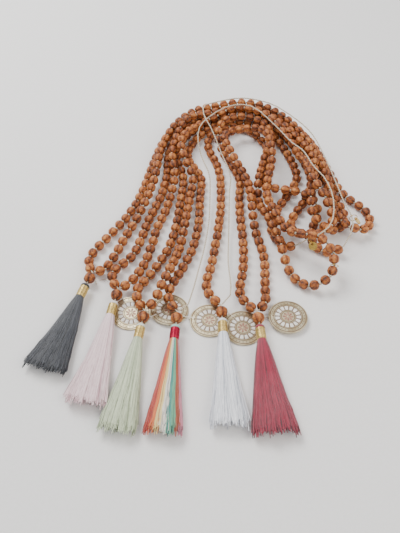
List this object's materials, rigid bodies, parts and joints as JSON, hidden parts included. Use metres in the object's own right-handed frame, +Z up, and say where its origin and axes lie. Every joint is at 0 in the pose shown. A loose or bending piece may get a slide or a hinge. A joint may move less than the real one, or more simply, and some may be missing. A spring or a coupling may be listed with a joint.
{
  "type": "prayer beads",
  "caption": "Bundle of knotted rudraksha-bead malas laid in a loop, each with a guru bead, bound thread tassel and etched round medallion, with small brass tags.",
  "frame": {"origin": "middle of the bounding box in plan, on the surface that the malas lie on", "axes": "+Z up from the surface; +Y from the tassels towards the far bend of the loops, the longest extent; +X to the right seen from the tassels"},
  "size_m": [0.2532, 0.3335, 0.0349],
  "materials": {
    "rudraksha_seed": "satin seed, deeply grooved",
    "ivory_cord": "twisted cotton cord",
    "black_cap_thread": "wound thread",
    "gold_thread": "metallic thread, wound",
    "black_thread": "loose viscose threads",
    "champagne_brass": "etched, satin",
    "blush_cap_thread": "wound thread",
    "blush_thread": "loose viscose threads",
    "sage_cap_thread": "wound thread",
    "sage_thread": "loose viscose threads",
    "rainbow_cap_thread": "wound thread",
    "crimson_thread": "wound thread",
    "rainbow_thread": "loose viscose threads",
    "white_cap_thread": "wound thread",
    "white_thread": "loose viscose threads",
    "burgundy_cap_thread": "wound thread",
    "burgundy_thread": "loose viscose threads",
    "tag_brass": "polished"
  },
  "bodies": {
    "root": {"black_beads": "rudraksha_seed", "black_cord": "ivory_cord", "black_tie": "ivory_cord", "blush_beads": "rudraksha_seed", "blush_cord": "ivory_cord", "blush_tie": "ivory_cord", "sage_beads": "rudraksha_seed", "sage_cord": "ivory_cord", "sage_tie": "ivory_cord", "rainbow_beads": "rudraksha_seed", "rainbow_cord": "ivory_cord", "rainbow_tie": "ivory_cord", "white_beads": "rudraksha_seed", "white_cord": "ivory_cord", "white_tie": "ivory_cord", "burgundy_beads": "rudraksha_seed", "burgundy_cord": "ivory_cord", "burgundy_tie": "ivory_cord"},
    "black_first": {"black_first_bead": "rudraksha_seed"},
    "black_guru_bead": {"black_guru": "rudraksha_seed"},
    "black_tassel": {"black_cap": "black_cap_thread", "black_collar": "gold_thread", "black_skirt": "black_thread"},
    "black_disc": {"black_medallion": "champagne_brass"},
    "blush_first": {"blush_first_bead": "rudraksha_seed"},
    "blush_guru_bead": {"blush_guru": "rudraksha_seed"},
    "blush_tassel": {"blush_cap": "blush_cap_thread", "blush_collar": "gold_thread", "blush_skirt": "blush_thread"},
    "blush_disc": {"blush_medallion": "champagne_brass"},
    "sage_first": {"sage_first_bead": "rudraksha_seed"},
    "sage_guru_bead": {"sage_guru": "rudraksha_seed"},
    "sage_tassel": {"sage_cap": "sage_cap_thread", "sage_collar": "gold_thread", "sage_skirt": "sage_thread"},
    "sage_disc": {"sage_medallion": "champagne_brass"},
    "rainbow_first": {"rainbow_first_bead": "rudraksha_seed"},
    "rainbow_guru_bead": {"rainbow_guru": "rudraksha_seed"},
    "rainbow_tassel": {"rainbow_cap": "rainbow_cap_thread", "rainbow_collar": "crimson_thread", "rainbow_skirt": "rainbow_thread"},
    "rainbow_disc": {"rainbow_medallion": "champagne_brass"},
    "white_first": {"white_first_bead": "rudraksha_seed"},
    "white_guru_bead": {"white_guru": "rudraksha_seed"},
    "white_tassel": {"white_cap": "white_cap_thread", "white_collar": "gold_thread", "white_skirt": "white_thread"},
    "white_disc": {"white_medallion": "champagne_brass"},
    "burgundy_first": {"burgundy_first_bead": "rudraksha_seed"},
    "burgundy_guru_bead": {"burgundy_guru": "rudraksha_seed"},
    "burgundy_tassel": {"burgundy_cap": "burgundy_cap_thread", "burgundy_collar": "gold_thread", "burgundy_skirt": "burgundy_thread"},
    "burgundy_disc": {"burgundy_medallion": "champagne_brass"},
    "charm_1": {"tag_1": "tag_brass", "tag_ring_1": "tag_brass"},
    "charm_2": {"tag_2": "tag_brass", "tag_ring_2": "tag_brass"},
    "charm_3": {"tag_3": "tag_brass", "tag_ring_3": "tag_brass"}
  },
  "joints": [
    {"name": "black_first_bead_spin", "type": "hinge", "parent": "root", "child": "black_first", "pos_m": [-0.09311, -0.03855, 0.00495], "axis": [-0.4388, 0.8611, -0.2568], "continuous": true},
    {"name": "black_guru_spin", "type": "hinge", "parent": "root", "child": "black_guru_bead", "pos_m": [-0.092, -0.049, 0.00649], "axis": [0.2756, 0.9613, 0], "continuous": true},
    {"name": "black_tassel_lift", "type": "hinge", "parent": "root", "child": "black_tassel", "pos_m": [-0.09341, -0.0539, 0.00649], "axis": [-0.9613, 0.2756, 0], "range_deg": [0, 45]},
    {"name": "black_medallion_swing", "type": "hinge", "parent": "root", "child": "black_disc", "pos_m": [-0.08726, -0.04996, 0.00254], "axis": [0, 0, 1], "range_deg": [-8, 8]},
    {"name": "blush_first_bead_spin", "type": "hinge", "parent": "root", "child": "blush_first", "pos_m": [-0.07338, -0.05477, 0.00651], "axis": [-0.5556, 0.8237, -0.1134], "continuous": true},
    {"name": "blush_guru_spin", "type": "hinge", "parent": "root", "child": "blush_guru_bead", "pos_m": [-0.071, -0.065, 0.00718], "axis": [0.1564, 0.9877, 0], "continuous": true},
    {"name": "blush_tassel_lift", "type": "hinge", "parent": "root", "child": "blush_tassel", "pos_m": [-0.0718, -0.07004, 0.00718], "axis": [-0.9877, 0.1564, 0], "range_deg": [0, 45]},
    {"name": "blush_medallion_swing", "type": "hinge", "parent": "root", "child": "blush_disc", "pos_m": [-0.06565, -0.06758, 0.00323], "axis": [0, 0, 1], "range_deg": [-3, 3]},
    {"name": "sage_first_bead_spin", "type": "hinge", "parent": "root", "child": "sage_first", "pos_m": [-0.05356, -0.07381, 0.00692], "axis": [-0.573, 0.8183, -0.0452], "continuous": true},
    {"name": "sage_guru_spin", "type": "hinge", "parent": "root", "child": "sage_guru_bead", "pos_m": [-0.051, -0.084, 0.00718], "axis": [0.1392, 0.9903, 0], "continuous": true},
    {"name": "sage_tassel_lift", "type": "hinge", "parent": "root", "child": "sage_tassel", "pos_m": [-0.05171, -0.08905, 0.00718], "axis": [-0.9903, 0.1392, 0], "range_deg": [0, 45]},
    {"name": "sage_medallion_swing", "type": "hinge", "parent": "root", "child": "sage_disc", "pos_m": [-0.04244, -0.07896, 0.00357], "axis": [0, 0, 1], "range_deg": [-3, 3]},
    {"name": "rainbow_first_bead_spin", "type": "hinge", "parent": "root", "child": "rainbow_first", "pos_m": [-0.03117, -0.07498, 0.00726], "axis": [-0.6219, 0.7818, -0.0452], "continuous": true},
    {"name": "rainbow_guru_spin", "type": "hinge", "parent": "root", "child": "rainbow_guru_bead", "pos_m": [-0.028, -0.085, 0.00752], "axis": [0.0785, 0.9969, 0], "continuous": true},
    {"name": "rainbow_tassel_lift", "type": "hinge", "parent": "root", "child": "rainbow_tassel", "pos_m": [-0.0284, -0.09008, 0.00752], "axis": [-0.9969, 0.0785, 0], "range_deg": [0, 45]},
    {"name": "rainbow_medallion_swing", "type": "hinge", "parent": "root", "child": "rainbow_disc", "pos_m": [-0.01572, -0.08124, 0.00254], "axis": [0, 0, 1], "range_deg": [-3, 3]},
    {"name": "white_first_bead_spin", "type": "hinge", "parent": "root", "child": "white_first", "pos_m": [-0.00129, -0.06941, 0.00623], "axis": [-0.7064, 0.7064, -0.0452], "continuous": true},
    {"name": "white_guru_spin", "type": "hinge", "parent": "root", "child": "white_guru_bead", "pos_m": [0.003, -0.079, 0.00649], "axis": [-0.0349, 0.9994, 0], "continuous": true},
    {"name": "white_tassel_lift", "type": "hinge", "parent": "root", "child": "white_tassel", "pos_m": [0.00318, -0.0841, 0.00649], "axis": [-0.9994, -0.0349, 0], "range_deg": [0, 45]},
    {"name": "white_medallion_swing", "type": "hinge", "parent": "root", "child": "white_disc", "pos_m": [0.01088, -0.08111, 0.00357], "axis": [0, 0, 1], "range_deg": [-3, 3]},
    {"name": "burgundy_first_bead_spin", "type": "hinge", "parent": "root", "child": "burgundy_first", "pos_m": [0.02338, -0.07556, 0.00726], "axis": [-0.7306, 0.6813, -0.0452], "continuous": true},
    {"name": "burgundy_guru_spin", "type": "hinge", "parent": "root", "child": "burgundy_guru_bead", "pos_m": [0.028, -0.085, 0.00752], "axis": [-0.0698, 0.9976, 0], "continuous": true},
    {"name": "burgundy_tassel_lift", "type": "hinge", "parent": "root", "child": "burgundy_tassel", "pos_m": [0.02836, -0.09009, 0.00752], "axis": [-0.9976, -0.0698, 0], "range_deg": [0, 45]},
    {"name": "burgundy_medallion_swing", "type": "hinge", "parent": "root", "child": "burgundy_disc", "pos_m": [0.03873, -0.08028, 0.00254], "axis": [0, 0, 1], "range_deg": [-8, 8]},
    {"name": "tag_swing_1", "type": "hinge", "parent": "root", "child": "charm_1", "pos_m": [0.1043, 0.00268, 0.0171], "axis": [0.039, -0.9979, 0.0513], "range_deg": [0, 45]},
    {"name": "tag_swing_2", "type": "hinge", "parent": "root", "child": "charm_2", "pos_m": [0.08459, -0.04434, 0.0155], "axis": [-0.1894, -0.8835, -0.4285], "range_deg": [0, 70]},
    {"name": "tag_swing_3", "type": "hinge", "parent": "root", "child": "charm_3", "pos_m": [0.06871, -0.01996, 0.01727], "axis": [-0.825, -0.0692, -0.5608], "range_deg": [0, 60]}
  ]
}
